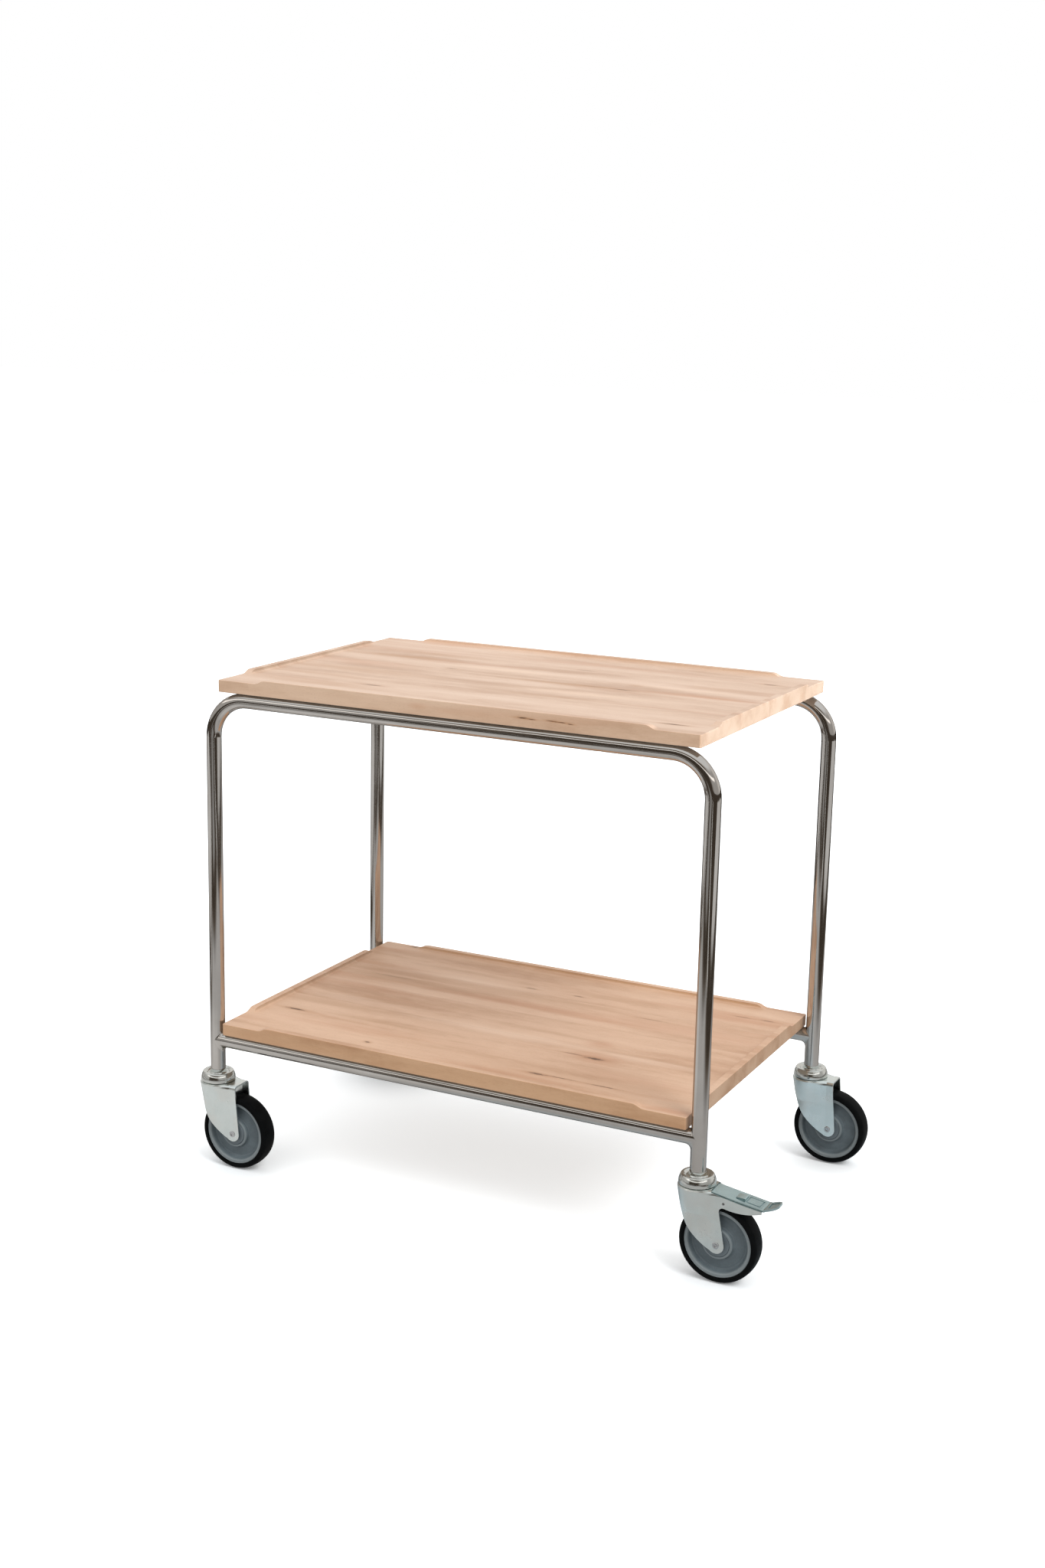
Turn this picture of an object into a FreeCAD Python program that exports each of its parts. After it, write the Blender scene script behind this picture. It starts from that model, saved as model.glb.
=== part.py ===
import FreeCAD, Part
import Sketcher
import math
import os

# Serving trolley: two bent-tube end-to-end frames, two solid wood trays,
# four swivel castors, two of them with a foot brake.
# Frame: origin on the floor, midway between the four swivel axes.
# +X along the length, -Y is the front, +Z up.  Millimetres.

V = FreeCAD.Vector
doc = FreeCAD.newDocument("serving_trolley")

# ---------------------------------------------------------------- dimensions
TABLE = [
    ("tray_len", 845.0, "tray length"),
    ("tray_wid", 550.0, "tray width"),
    ("board_thick", 20.0, "board thickness in the recess and at the corners"),
    ("rim_height", 6.0, "height of the raised rim"),
    ("rim_width", 18.0, "rim width with its cove"),
    ("rim_stop", 69.0, "foot of the rim's end ramp, from the corner"),
    ("rim_ramp", 22.0, "length of the rim's end ramp"),
    ("corner_round", 3.0, "rounding of the tray's upright corners"),
    ("edge_ease", 1.2, "eased long edges of the tray"),
    ("upper_ease", 0.9, "eased upper edges of the tray"),
    ("top_tray_z", 824.0, "underside of the top tray"),
    ("low_tray_z", 235.0, "underside of the lower tray"),
    ("leg_x", 440.0, "leg axis from the middle, along the length"),
    ("leg_y", 262.5, "leg axis from the middle, across"),
    ("tube_rad", 12.5, "frame tube, outer radius"),
    ("tube_wall", 1.5, "frame tube wall"),
    ("bend_rad", 65.0, "centreline radius of the top bends"),
    ("top_axis_z", 811.5, "axis of the top run"),
    ("leg_end_z", 170.0, "cut end of the leg"),
    ("rail_axis_z", 222.5, "axis of the lower rail"),
    ("cope_gap", 0.05, "cope clearance at the leg"),
    ("screw_x", 260.0, "tray screws from the middle"),
    ("screw_rad", 2.45, "screw shank radius"),
    ("screw_hole", 2.55, "screw hole radius"),
    ("screw_head", 4.2, "screw head radius"),
    ("access_hole", 5.2, "driver access hole in the lower wall"),
    ("screw_bite", 14.0, "screw length in the wood"),
    ("socket_len", 45.0, "castor socket length in the leg"),
    ("stem_rad", 5.0, "castor stem radius"),
    ("stem_hole", 5.05, "hole for the castor stem"),
    ("wheel_rad", 64.5, "wheel radius"),
    ("tyre_half", 17.3, "half width of the tyre"),
    ("rim_rad", 54.6, "wheel rim radius under the tyre"),
    ("trail", 41.5, "wheel axle behind the swivel axis"),
    ("axle_rad", 4.0, "axle radius"),
    ("axle_hole", 4.05, "axle hole in the fork"),
    ("fork_half", 21.0, "fork half width, outside"),
    ("sheet", 2.5, "fork sheet thickness"),
    ("crown_rad", 30.5, "fork crown radius"),
    ("crown_z", 150.0, "top of the fork crown"),
    ("shoulder_z", 110.0, "height where the fork's sides turn upright"),
    ("nose_rad", 25.0, "fork nose radius at the shoulder"),
    ("fork_low", 44.0, "below the lowest point of the fork"),
    ("eye_rad", 13.0, "radius of the fork's axle end"),
    ("cap_rad", 29.2, "swivel cap radius"),
    ("cap_low", 150.6, "underside of the swivel cap"),
    ("ball_ring", 20.0, "ball ring radius"),
    ("ball_rad", 3.0, "ball radius"),
    ("pin_x", 51.0, "brake pin, along the castor"),
    ("pin_z", 134.0, "brake pin height"),
    ("pin_rad", 2.0, "brake pin radius"),
    ("pin_hole", 2.05, "hole for the brake pin"),
    ("pedal_half", 17.9, "brake pedal half width"),
    ("pedal_inner", 15.9, "brake pedal half width inside its flanges"),
    ("shoe_half", 9.0, "brake shoe half width"),
]
sheet = doc.addObject("Spreadsheet::Sheet", "dims")
for row, (alias, value, note) in enumerate(TABLE, 1):
    sheet.set("A%d" % row, note)
    sheet.set("B%d" % row, repr(value))
    sheet.setAlias("B%d" % row, alias)
doc.recompute()


class Q:
    """A size: its value now and the sheet expression that drives it."""

    def __init__(self, v, t):
        self.v = float(v)
        self.t = t

    def __add__(self, o):
        o = q(o)
        return Q(self.v + o.v, "(%s + %s)" % (self.t, o.t))

    def __sub__(self, o):
        o = q(o)
        return Q(self.v - o.v, "(%s - %s)" % (self.t, o.t))

    def __mul__(self, o):
        o = q(o)
        return Q(self.v * o.v, "(%s * %s)" % (self.t, o.t))

    def __truediv__(self, o):
        o = q(o)
        return Q(self.v / o.v, "(%s / %s)" % (self.t, o.t))

    def __neg__(self):
        return Q(-self.v, "(-1 * %s)" % self.t)

    def __radd__(self, o):
        return q(o) + self

    def __rsub__(self, o):
        return q(o) - self

    def __rmul__(self, o):
        return q(o) * self


def q(o):
    return o if isinstance(o, Q) else Q(o, "%.6f" % float(o))


def dim(alias):
    return Q(sheet.get(alias), "dims." + alias)


# ------------------------------------------------------------------- helpers
def new_body(name):
    return doc.addObject("PartDesign::Body", name)


def plane_of(body, role):
    for f in body.Origin.OriginFeatures:
        if f.Role == role:
            return f
    raise RuntimeError("no plane " + role)


def new_sketch(body, role, offset=None):
    sk = body.newObject("Sketcher::SketchObject", body.Name + "_sketch")
    sk.AttachmentSupport = [(plane_of(body, role), "")]
    sk.MapMode = "FlatFace"
    if offset is not None:
        offset = q(offset)
        sk.AttachmentOffset = FreeCAD.Placement(V(0, 0, offset.v), FreeCAD.Rotation())
        sk.setExpression("AttachmentOffset.Base.z", offset.t)
    return sk


def pin_point(sk, geo, pos, x, y):
    """Hold one point of a sketch at x, y from the sketch's origin."""
    for kind, c, axis in (("DistanceX", x, -2), ("DistanceY", y, -1)):
        if c.v == 0.0 and c.t == "0.000000":
            sk.addConstraint(Sketcher.Constraint("PointOnObject", geo, pos, axis))
        else:
            k = sk.addConstraint(Sketcher.Constraint(kind, -1, 1, geo, pos, c.v))
            sk.setExpression("Constraints[%d]" % k, c.t)


def add_outline(sk, path):
    """A closed outline. path holds (x, y) corners; a corner with two more
    numbers is joined to the next one by an arc through that point."""
    pts = [(q(p[0]), q(p[1])) for p in path]
    n = len(pts)
    ends = []
    for i in range(n):
        a, b = pts[i], pts[(i + 1) % n]
        pa, pb = V(a[0].v, a[1].v, 0), V(b[0].v, b[1].v, 0)
        if len(path[i]) == 4:
            mid = V(q(path[i][2]).v, q(path[i][3]).v, 0)
            g = sk.addGeometry(Part.Arc(pa, mid, pb))
            first = 1 if sk.getPoint(g, 1).distanceToPoint(pa) < 1e-4 else 2
            ends.append((g, first, 3 - first))
        else:
            g = sk.addGeometry(Part.LineSegment(pa, pb))
            ends.append((g, 1, 2))
    for i in range(n):
        j = (i + 1) % n
        sk.addConstraint(Sketcher.Constraint("Coincident", ends[i][0], ends[i][2], ends[j][0], ends[j][1]))
    for i in range(n):
        pin_point(sk, ends[i][0], ends[i][1], pts[i][0], pts[i][1])


def add_circle(sk, x, y, r):
    x, y, r = q(x), q(y), q(r)
    g = sk.addGeometry(Part.Circle(V(x.v, y.v, 0), V(0, 0, 1), r.v))
    k = sk.addConstraint(Sketcher.Constraint("Radius", g, r.v))
    sk.setExpression("Constraints[%d]" % k, r.t)
    pin_point(sk, g, 3, x, y)


def bind(obj, prop, value):
    value = q(value)
    setattr(obj, prop, value.v)
    obj.setExpression(prop, value.t)


def pad(body, sk, length, reverse=False, both=False):
    f = body.newObject("PartDesign::Pad", body.Name + "_pad")
    f.Profile = sk
    if both:
        f.SideType = "Symmetric"
    f.Reversed = reverse
    bind(f, "Length", length)
    doc.recompute()
    return f


def pocket(body, sk, length=None, reverse=False, both=False):
    before = body.Shape.Volume
    f = body.newObject("PartDesign::Pocket", body.Name + "_pocket")
    f.Profile = sk
    if both:
        f.SideType = "Symmetric"
    f.Reversed = reverse
    if length is None:
        f.Type = "ThroughAll"
    else:
        bind(f, "Length", length)
    doc.recompute()
    if not body.Shape.Volume < before - 1e-3:
        raise RuntimeError("pocket cut nothing in " + body.Name)
    return f


def revolve(name, path, role):
    """A turned piece about the sketch's upright axis."""
    b = new_body(name)
    sk = new_sketch(b, role)
    add_outline(sk, path)
    f = b.newObject("PartDesign::Revolution", name + "_turn")
    f.Profile = sk
    f.ReferenceAxis = (sk, ["V_Axis"])
    f.Angle = 360.0
    doc.recompute()
    return b


def edges_where(shape, test):
    return ["Edge%d" % (i + 1) for i, e in enumerate(shape.Edges) if test(e)]


NODES = []


def node(label, master, x=0, y=0, z=0):
    """One named piece: the master shape set in its place."""
    n = doc.addObject("Part::Compound", "node_" + label)
    n.Links = master if isinstance(master, list) else [master]
    n.Label = label
    x, y, z = q(x), q(y), q(z)
    n.Placement = FreeCAD.Placement(V(x.v, y.v, z.v), FreeCAD.Rotation())
    for axis, c in (("x", x), ("y", y), ("z", z)):
        n.setExpression("Placement.Base." + axis, c.t)
    NODES.append(n)
    return n


leg_x, leg_y = dim("leg_x"), dim("leg_y")
tube_rad, tube_wall = dim("tube_rad"), dim("tube_wall")
screw_x, screw_hole = dim("screw_x"), dim("screw_hole")


# ------------------------------------------------- bent frame tube (inverted U)
def frame_tube(name):
    b = new_body(name)
    bend, top, low = dim("bend_rad"), dim("top_axis_z"), dim("leg_end_z")
    spine = new_sketch(b, "XZ_Plane")
    c45 = math.sin(math.pi / 4)
    pts = [(-leg_x, low), (-leg_x, top - bend), (-leg_x + bend, top),
           (leg_x - bend, top), (leg_x, top - bend), (leg_x, low)]
    mids = {1: (-leg_x + bend * (1 - c45), top - bend * (1 - c45)),
            3: (leg_x - bend * (1 - c45), top - bend * (1 - c45))}
    ends = []
    for i in range(5):
        pa, pb = V(pts[i][0].v, pts[i][1].v, 0), V(pts[i + 1][0].v, pts[i + 1][1].v, 0)
        if i in mids:
            g = spine.addGeometry(Part.Arc(pa, V(mids[i][0].v, mids[i][1].v, 0), pb))
            first = 1 if spine.getPoint(g, 1).distanceToPoint(pa) < 1e-4 else 2
            k = spine.addConstraint(Sketcher.Constraint("Radius", g, bend.v))
            spine.setExpression("Constraints[%d]" % k, bend.t)
        else:
            g = spine.addGeometry(Part.LineSegment(pa, pb))
            first = 1
        ends.append((g, first, 3 - first))
    for i in range(4):
        spine.addConstraint(Sketcher.Constraint("Coincident", ends[i][0], ends[i][2], ends[i + 1][0], ends[i + 1][1]))
    for i in range(5):
        pin_point(spine, ends[i][0], ends[i][1], pts[i][0], pts[i][1])
    pin_point(spine, ends[4][0], ends[4][2], pts[5][0], pts[5][1])
    doc.recompute()
    for kind, rad in (("Additive", tube_rad), ("Subtractive", tube_rad - tube_wall)):
        prof = new_sketch(b, "XY_Plane", low)
        add_circle(prof, -leg_x, 0, rad)
        doc.recompute()
        f = b.newObject("PartDesign::%sPipe" % kind, name + "_" + kind.lower())
        f.Profile = prof
        f.Spine = (spine, ["Edge%d" % (i + 1) for i in range(5)])
        doc.recompute()
    # screw holes in the upper wall of the top run, access holes in the lower
    holes = new_sketch(b, "XY_Plane", top + tube_rad * 2)
    for s in (-1, 1):
        add_circle(holes, screw_x * s, 0, screw_hole)
    pocket(b, holes, tube_rad * 2)
    access = new_sketch(b, "XY_Plane", top)
    for s in (-1, 1):
        add_circle(access, screw_x * s, 0, dim("access_hole"))
    pocket(b, access, tube_rad * 2)
    return b


front_tube = frame_tube("frame_tube")
node("front_frame_tube", front_tube, 0, -leg_y, 0)
node("rear_frame_tube", front_tube, 0, leg_y, 0)

# ---------------------------------------- lower rail, coped to the two legs
rail_z = dim("rail_axis_z")


def lying_cylinder(name, rad, length):
    c = doc.addObject("Part::Cylinder", name)
    bind(c, "Radius", rad)
    bind(c, "Height", length)
    c.Placement = FreeCAD.Placement(V(-length.v / 2, 0, rail_z.v), FreeCAD.Rotation(V(0, 1, 0), 90))
    c.setExpression("Placement.Base.x", (-length / 2).t)
    c.setExpression("Placement.Base.z", rail_z.t)
    return c


def standing_cylinder(name, rad, x, z0, height):
    c = doc.addObject("Part::Cylinder", name)
    bind(c, "Radius", rad)
    bind(c, "Height", height)
    x, z0 = q(x), q(z0)
    c.Placement = FreeCAD.Placement(V(x.v, 0, z0.v), FreeCAD.Rotation())
    c.setExpression("Placement.Base.x", x.t)
    c.setExpression("Placement.Base.z", z0.t)
    return c


rail_outer = lying_cylinder("rail_outer", tube_rad, leg_x * 2)
rail_inner = lying_cylinder("rail_inner", tube_rad - tube_wall, leg_x * 2 + 20)
rail_tube = doc.addObject("Part::Cut", "rail_tube")
rail_tube.Base, rail_tube.Tool = rail_outer, rail_inner
rail_cuts = doc.addObject("Part::MultiFuse", "rail_cuts")
rail_cuts.Shapes = [
    standing_cylinder("cope_left", tube_rad + dim("cope_gap"), -leg_x, rail_z - 30, 60),
    standing_cylinder("cope_right", tube_rad + dim("cope_gap"), leg_x, rail_z - 30, 60),
    standing_cylinder("rail_hole_left", screw_hole, -screw_x, rail_z, 60),
    standing_cylinder("rail_hole_right", screw_hole, screw_x, rail_z, 60),
    standing_cylinder("rail_access_left", dim("access_hole"), -screw_x, rail_z - 60, 60),
    standing_cylinder("rail_access_right", dim("access_hole"), screw_x, rail_z - 60, 60),
]
rail = doc.addObject("Part::Cut", "rail")
rail.Base, rail.Tool = rail_tube, rail_cuts
doc.recompute()
node("front_lower_rail", rail, 0, -leg_y, 0)
node("rear_lower_rail", rail, 0, leg_y, 0)


# --------------------------------------------------- tray, one milled board
def tray(name):
    b = new_body(name)
    hx, hy = dim("tray_len") / 2, dim("tray_wid") / 2
    th, rh, rw = dim("board_thick"), dim("rim_height"), dim("rim_width")
    stop, ramp, cr = dim("rim_stop"), dim("rim_ramp"), dim("corner_round")
    k = cr * (1 - math.sin(math.pi / 4))
    sk = new_sketch(b, "XY_Plane")
    add_outline(sk, [
        (-hx + cr, -hy), (hx - cr, -hy, hx - k, -hy + k),
        (hx, -hy + cr), (hx, hy - cr, hx - k, hy - k),
        (hx - cr, hy), (-hx + cr, hy, -hx + k, hy - k),
        (-hx, hy - cr), (-hx, -hy + cr, -hx + k, -hy + k),
    ])
    pad(b, sk, th)
    # rims: each ends in an S-shaped ramp before the corner
    rise, run = rh.v, ramp.v
    arc = (run * run + rise * rise) / (4 * rise)
    half = math.atan2(rise, run)
    qx, qz = arc * math.sin(half), arc * (1 - math.cos(half))

    def rim(role, reach, offset, flip):
        e = reach - stop
        i = e - ramp
        m = e - ramp / 2
        s = new_sketch(b, role, offset)
        add_outline(s, [
            (-e, th, -e + qx, th + qz), (-m, th + rh / 2, -i - qx, th + rh - qz),
            (-i, th + rh), (i, th + rh, i + qx, th + rh - qz),
            (m, th + rh / 2, e - qx, th + qz), (e, th),
        ])
        pad(b, s, rw, flip)

    # the upright planes of the sketch look along -Y and +X
    rim("XZ_Plane", hx, hy, True)
    rim("XZ_Plane", hx, -hy, False)
    rim("YZ_Plane", hy, hx, True)
    rim("YZ_Plane", hy, -hx, False)
    # cove along the inside of each rim
    for role, reach in (("YZ_Plane", hy), ("XZ_Plane", hx)):
        for s in (-1, 1):
            c = new_sketch(b, role)
            add_circle(c, (reach - rw) * s, th + rh, rh)
            pocket(b, c, dim("tray_len") + 20, both=True)
    # blind screw holes from below, over the tubes
    holes = new_sketch(b, "XY_Plane")
    for sx in (-1, 1):
        for sy in (-1, 1):
            add_circle(holes, screw_x * sx, leg_y * sy, screw_hole)
    pocket(b, holes, dim("screw_bite") + 0.5, reverse=True)
    # eased edges
    base = b.Tip
    low = edges_where(base.Shape, lambda e: abs(e.BoundBox.ZMin) < 1e-6 and abs(e.BoundBox.ZMax) < 1e-6
                      and max(abs(e.BoundBox.XMax), abs(e.BoundBox.XMin)) > hx.v - 40 or
                      (abs(e.BoundBox.ZMin) < 1e-6 and abs(e.BoundBox.ZMax) < 1e-6 and e.Length > 400))
    f = b.newObject("PartDesign::Fillet", name + "_ease")
    f.Base = (base, low)
    bind(f, "Radius", dim("edge_ease"))
    doc.recompute()

    def upper_outer(e):
        bb = e.BoundBox
        if bb.ZMin < th.v - 1e-3 or (bb.XLength < 1e-6 and bb.YLength < 1e-6):
            return False
        on_x = bb.XLength < 1e-6 and abs(abs(bb.XMax) - hx.v) < 1e-6
        on_y = bb.YLength < 1e-6 and abs(abs(bb.YMax) - hy.v) < 1e-6
        corner = (bb.ZLength < 1e-6 and abs(bb.XLength - cr.v) < 1e-3 and abs(bb.YLength - cr.v) < 1e-3
                  and max(abs(bb.XMin), abs(bb.XMax)) > hx.v - 1e-3)
        return on_x or on_y or corner

    f2 = b.newObject("PartDesign::Fillet", name + "_upper_ease")
    f2.Base = (f, edges_where(f.Shape, upper_outer))
    bind(f2, "Radius", dim("upper_ease"))
    doc.recompute()
    return b


tray_body = tray("tray")
node("top_tray", tray_body, 0, 0, dim("top_tray_z"))
node("lower_tray", tray_body, 0, 0, dim("low_tray_z"))

# ------------------------------------------------------------- tray screws
head, bite = dim("screw_head"), dim("screw_bite")
seat = tube_rad * 2 - tube_wall - 0.85
screw = revolve("tray_screw", [
    (0, seat - 2.6), (head * 0.55, seat - 2.5), (head * 0.9, seat - 1.7), (head, seat - 0.6), (head, seat - 0.05),
    (dim("screw_rad"), seat - 0.05), (dim("screw_rad"), tube_rad * 2 + bite - 3), (0, tube_rad * 2 + bite)], "XZ_Plane")
cross = new_sketch(screw, "XY_Plane", seat - 2.7)
add_outline(cross, [(-0.5, -2), (0.5, -2), (0.5, -0.5), (2, -0.5), (2, 0.5), (0.5, 0.5),
                    (0.5, 2), (-0.5, 2), (-0.5, 0.5), (-2, 0.5), (-2, -0.5), (-0.5, -0.5)])
pocket(screw, cross, 1.4, reverse=True)


def placed(master, name, x, y, z):
    c = doc.addObject("Part::Compound", name)
    c.Links = [master]
    x, y, z = q(x), q(y), q(z)
    c.Placement = FreeCAD.Placement(V(x.v, y.v, z.v), FreeCAD.Rotation())
    for axis, d in (("x", x), ("y", y), ("z", z)):
        c.setExpression("Placement.Base." + axis, d.t)
    return c


for label, axis_z in (("top_tray_screws", dim("top_axis_z")), ("lower_tray_screws", rail_z)):
    group = [placed(screw, label + "_one", screw_x * sx, leg_y * sy, axis_z - tube_rad)
             for sx in (-1, 1) for sy in (-1, 1)]
    node(label, group)

# ------------------------------------------- castor sockets inside the legs
leg_end = dim("leg_end_z")
bore = tube_rad - tube_wall
socket = revolve("leg_socket", [
    (dim("stem_hole"), leg_end + 0.4), (bore - 0.7, leg_end + 0.4), (bore - 0.05, leg_end + 1.4),
    (bore - 0.05, leg_end + dim("socket_len") - 2), (bore - 1.5, leg_end + dim("socket_len")),
    (dim("stem_hole"), leg_end + dim("socket_len"))], "XZ_Plane")
node("leg_sockets", [placed(socket, "leg_socket_one", leg_x * sx, leg_y * sy, 0)
                     for sx in (-1, 1) for sy in (-1, 1)])

# ------------------------------------------------------------ castor masters
# Castor pieces are drawn about the swivel axis, trailing towards +X.
crown_z, crown_rad, fork_half, gauge = dim("crown_z"), dim("crown_rad"), dim("fork_half"), dim("sheet")
shoulder, fork_low = dim("shoulder_z"), dim("fork_low")
trail, wheel_rad = dim("trail"), dim("wheel_rad")
cap_rad, cap_low = dim("cap_rad"), dim("cap_low")
ring, ball = dim("ball_ring"), dim("ball_rad")
stem_hole = dim("stem_hole")

# swivel cap: dished top, rounded shoulder, ball track underneath
cap = revolve("swivel_cap", [
    (stem_hole, cap_low), (ring - ball - 0.3, cap_low), (ring - ball - 0.3, cap_low + ball * 2 + 0.1),
    (ring + ball + 0.3, cap_low + ball * 2 + 0.1), (ring + ball + 0.3, cap_low),
    (cap_rad - 0.6, cap_low), (cap_rad, cap_low + 0.6), (cap_rad, cap_low + 2.4, cap_rad - 0.9, cap_low + 8.6),
    (cap_rad - 2.9, cap_low + 13.4, cap_rad - 4.0, cap_low + 15.0), (cap_rad - 5.8, cap_low + 15.6),
    (cap_rad - 7.6, cap_low + 15.2, cap_rad - 9.6, cap_low + 14.0), (cap_rad - 11.6, cap_low + 12.0), (cap_rad - 13.2, cap_low + 11.6),
    (tube_rad + 2.2, cap_low + 12.0, tube_rad + 1.1, cap_low + 13.2), (tube_rad + 0.6, cap_low + 15.4), (tube_rad + 0.6, leg_end - 0.5),
    (tube_rad + 0.2, leg_end - 0.2), (stem_hole, leg_end - 0.2)], "XZ_Plane")

# king bolt: stem in the leg socket, riveted head under the crown
stem = dim("stem_rad")
king = revolve("king_bolt", [
    (0, crown_z - 8.2), (6.4, crown_z - 7.6), (9.0, crown_z - 5.2), (9.0, crown_z - gauge - 0.3),
    (stem, crown_z - gauge - 0.3), (stem, leg_end + dim("socket_len") - 3), (stem - 1.2, leg_end + dim("socket_len") - 1),
    (0, leg_end + dim("socket_len") - 1)], "XZ_Plane")

# ball ring
ball_objs = []
BALLS = 18
for i in range(BALLS):
    s = doc.addObject("Part::Sphere", "swivel_ball")
    bind(s, "Radius", ball)
    s.Placement = FreeCAD.Placement(V(ring.v * math.cos(2 * math.pi * i / BALLS), ring.v * math.sin(2 * math.pi * i / BALLS),
                                      crown_z.v + ball.v + 0.3), FreeCAD.Rotation())
    s.setExpression("Placement.Base.x", "dims.ball_ring * cos(%.6f)" % (360.0 * i / BALLS))
    s.setExpression("Placement.Base.y", "dims.ball_ring * sin(%.6f)" % (360.0 * i / BALLS))
    s.setExpression("Placement.Base.z", (crown_z + ball + 0.3).t)
    ball_objs.append(s)
doc.recompute()


def fork_section(sk, rad, half, x_taper, x_end):
    """Plan of the fork: round nose, sides drawn in to the parallel part."""
    def tangent(r, h):
        d = math.hypot(x_taper, h)
        a = math.atan2(h, x_taper) + math.acos(r / d)
        return math.cos(a), math.sin(a)
    c, s = tangent(rad.v, half.v)
    add_outline(sk, [
        (rad * c, -(rad * s)), (q(x_taper), -half), (q(x_end), -half), (q(x_end), half),
        (q(x_taper), half), (rad * c, rad * s, -rad, 0)])


AXLE = (trail, wheel_rad)


def fork(name, outline, x_end, open_from=None):
    b = new_body(name)
    x_taper = 36.0
    nose = dim("nose_rad")
    low_out = new_sketch(b, "XY_Plane", shoulder)
    fork_section(low_out, nose, fork_half, x_taper, x_end)
    # sides lean out to the crown, whose edge is rolled over
    rolled = []
    for drop, nose_in, side_in in ((6.0, 0.4, 0.0), (3.0, 0.1, 0.8), (0.8, 1.1, 3.0), (0.0, 3.2, 6.0)):
        sec = new_sketch(b, "XY_Plane", crown_z - drop)
        fork_section(sec, crown_rad - nose_in, fork_half - side_in, x_taper, x_end)
        rolled.append(sec)
    doc.recompute()
    f = b.newObject("PartDesign::AdditiveLoft", name + "_crown")
    f.Profile = low_out
    f.Sections = rolled
    f.Ruled = True
    doc.recompute()
    legs = new_sketch(b, "XY_Plane", shoulder)
    fork_section(legs, nose, fork_half, x_taper, x_end)
    pad(b, legs, shoulder - fork_low, reverse=True)
    # hollow between the sides
    low_in = new_sketch(b, "XY_Plane", shoulder)
    fork_section(low_in, nose - gauge, fork_half - gauge, x_taper, x_end + 5)
    hollow = []
    for drop, nose_in, side_in in ((6.0, 0.4, 0.0), (2.5, 2.2, 3.4)):
        sec = new_sketch(b, "XY_Plane", crown_z - drop)
        fork_section(sec, crown_rad - gauge - nose_in, fork_half - gauge - side_in, x_taper, x_end + 5)
        hollow.append(sec)
    doc.recompute()
    h = b.newObject("PartDesign::SubtractiveLoft", name + "_hollow")
    h.Profile = low_in
    h.Sections = hollow
    h.Ruled = True
    doc.recompute()
    gap = new_sketch(b, "XY_Plane", shoulder)
    fork_section(gap, nose - gauge, fork_half - gauge, x_taper, x_end + 5)
    pocket(b, gap, shoulder - fork_low + 5)
    if open_from is not None:
        top_gap = new_sketch(b, "XY_Plane", crown_z + 1)
        hh = fork_half - gauge
        add_outline(top_gap, [(open_from, -hh), (x_end + 5, -hh), (x_end + 5, hh), (open_from, hh)])
        pocket(b, top_gap, 12.0)
    # trim to the pressed side outline
    trim = new_sketch(b, "XZ_Plane")
    add_outline(trim, [(-60, 20), (x_end + 40, 20), (x_end + 40, 190), (-60, 190)])
    add_outline(trim, outline)
    pocket(b, trim, 90.0, both=True)
    hole = new_sketch(b, "XY_Plane", crown_z + 1)
    add_circle(hole, 0, 0, stem_hole)
    pocket(b, hole, 12.0)
    eyes = new_sketch(b, "XZ_Plane")
    add_circle(eyes, AXLE[0], AXLE[1], dim("axle_hole"))
    if open_from is not None:
        add_circle(eyes, dim("pin_x"), dim("pin_z"), dim("pin_hole"))
    pocket(b, eyes, 90.0, both=True)
    return b


eye = dim("eye_rad")


def eye_point(angle):
    a = math.radians(angle)
    return (trail + eye * math.cos(a), wheel_rad + eye * math.sin(a))


e0, e1, e2 = eye_point(226), eye_point(300), eye_point(8)
plain_outline = [
    (-36, 160), (-36, 144.0, -30.0, 142.0), (-25.6, 137.5, -10.8, 97.0),
    (e0[0], e0[1], e1[0], e1[1]), e2, (47.6, 140.0), (47.0, 160)]
braked_outline = [
    (-36, 160), (-36, 144.0, -30.0, 142.0), (-25.6, 137.5, -10.8, 97.0),
    (e0[0], e0[1], e1[0], e1[1]), e2, (44.2, 119.5, 46.0, 124.6),
    (51.2, 126.8, 80.0, 124.0), (112.0, 130.3), (112.0, 134.0, 66.0, 140.6), (30.8, 147.4), (30.8, 160)]
plain_fork = fork("plain_fork", plain_outline, 54.5)
braked_fork = fork("braked_fork", braked_outline, 113.0, 29.0)

# axle: rivet with rolled ends
axle_rad = dim("axle_rad")
side = fork_half
axle = revolve("wheel_axle", [
    (0, -side - 0.2), (2.4, -side - 0.2), (2.4, -side - 1.1), (3.0, -side - 1.5), (4.6, -side - 1.3), (5.3, -side - 0.6), (5.3, -side - 0.02),
    (axle_rad, -side - 0.02), (axle_rad, side + 0.02),
    (5.3, side + 0.02), (5.3, side + 0.6), (4.6, side + 1.3), (3.0, side + 1.5), (2.4, side + 1.1), (2.4, side + 0.2), (0, side + 0.2)], "XY_Plane")

# wheel body: rim, dished web, hub with a seat for the thread guards
rim_rad = dim("rim_rad")
web = [(8.05, 14.0), (20.6, 14.0), (20.6, 15.6), (23.4, 15.6), (24.4, 14.7), (25.4, 9.0), (27.2, 7.4),
       (42.0, 5.2), (45.0, 6.0), (48.6, 13.2), (49.8, 14.1), (rim_rad - 0.7, 14.1), (rim_rad, 13.4)]
hub = revolve("wheel_hub", web + [(r, -y) for r, y in reversed(web)], "XY_Plane")

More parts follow.
